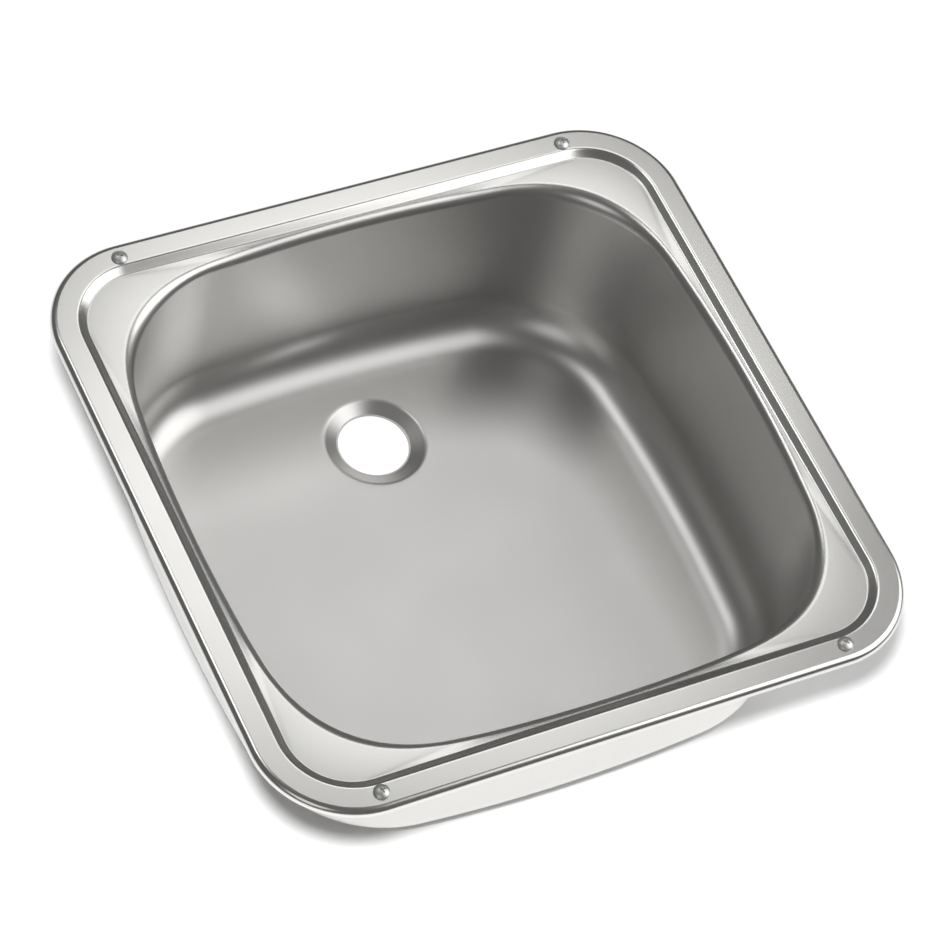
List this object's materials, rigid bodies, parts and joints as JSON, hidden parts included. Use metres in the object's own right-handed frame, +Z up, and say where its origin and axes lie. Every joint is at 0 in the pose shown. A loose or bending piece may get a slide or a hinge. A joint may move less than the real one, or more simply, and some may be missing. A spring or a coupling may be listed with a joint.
{
  "type": "square inset sink",
  "caption": "Square stainless inset sink with a rounded bowl, a dished waste hole at the rear, a sealed rim and captive fixing screws.",
  "frame": {"origin": "centre of the rim's outline, at the level of the waste seat's underside", "axes": "+Z up out of the bowl, +Y towards the rear, where the waste hole is, +X to the right"},
  "size_m": [0.405, 0.4, 0.1372],
  "materials": {
    "satin_stainless": "satin",
    "polished_stainless": "polished",
    "foam_rubber": "matt",
    "nylon": "moulded"
  },
  "bodies": {
    "root": {"sink_bowl": "satin_stainless", "rim_seal": "foam_rubber"},
    "washer_rear_left": {"captive_washer_rear_left": "nylon"},
    "screw_rear_left": {"fixing_screw_rear_left": "polished_stainless"},
    "washer_rear_right": {"captive_washer_rear_right": "nylon"},
    "screw_rear_right": {"fixing_screw_rear_right": "polished_stainless"},
    "washer_front_left": {"captive_washer_front_left": "nylon"},
    "screw_front_left": {"fixing_screw_front_left": "polished_stainless"},
    "washer_front_right": {"captive_washer_front_right": "nylon"},
    "screw_front_right": {"fixing_screw_front_right": "polished_stainless"}
  },
  "joints": [
    {"name": "screw_lift_rear_left", "type": "slide", "parent": "root", "child": "washer_rear_left", "axis": [0, 0, 1], "range_m": [0, 0.0028]},
    {"name": "screw_turn_rear_left", "type": "hinge", "parent": "washer_rear_left", "child": "screw_rear_left", "pos_m": [-0.145, 0.189, 0.13452], "axis": [0, 0, 1], "range_deg": [0, 720.5]},
    {"name": "screw_lift_rear_right", "type": "slide", "parent": "root", "child": "washer_rear_right", "axis": [0, 0, 1], "range_m": [0, 0.0028]},
    {"name": "screw_turn_rear_right", "type": "hinge", "parent": "washer_rear_right", "child": "screw_rear_right", "pos_m": [0.145, 0.189, 0.13452], "axis": [0, 0, 1], "range_deg": [0, 720.5]},
    {"name": "screw_lift_front_left", "type": "slide", "parent": "root", "child": "washer_front_left", "axis": [0, 0, 1], "range_m": [0, 0.0028]},
    {"name": "screw_turn_front_left", "type": "hinge", "parent": "washer_front_left", "child": "screw_front_left", "pos_m": [-0.145, -0.189, 0.13452], "axis": [0, 0, 1], "range_deg": [0, 720.5]},
    {"name": "screw_lift_front_right", "type": "slide", "parent": "root", "child": "washer_front_right", "axis": [0, 0, 1], "range_m": [0, 0.0028]},
    {"name": "screw_turn_front_right", "type": "hinge", "parent": "washer_front_right", "child": "screw_front_right", "pos_m": [0.145, -0.189, 0.13452], "axis": [0, 0, 1], "range_deg": [0, 720.5]}
  ],
  "couplings": [
    {"joint": "screw_turn_rear_left", "follows": "screw_lift_rear_left", "rad_per_m": 4488},
    {"joint": "screw_turn_rear_right", "follows": "screw_lift_rear_right", "rad_per_m": 4488},
    {"joint": "screw_turn_front_left", "follows": "screw_lift_front_left", "rad_per_m": 4488},
    {"joint": "screw_turn_front_right", "follows": "screw_lift_front_right", "rad_per_m": 4488}
  ]
}
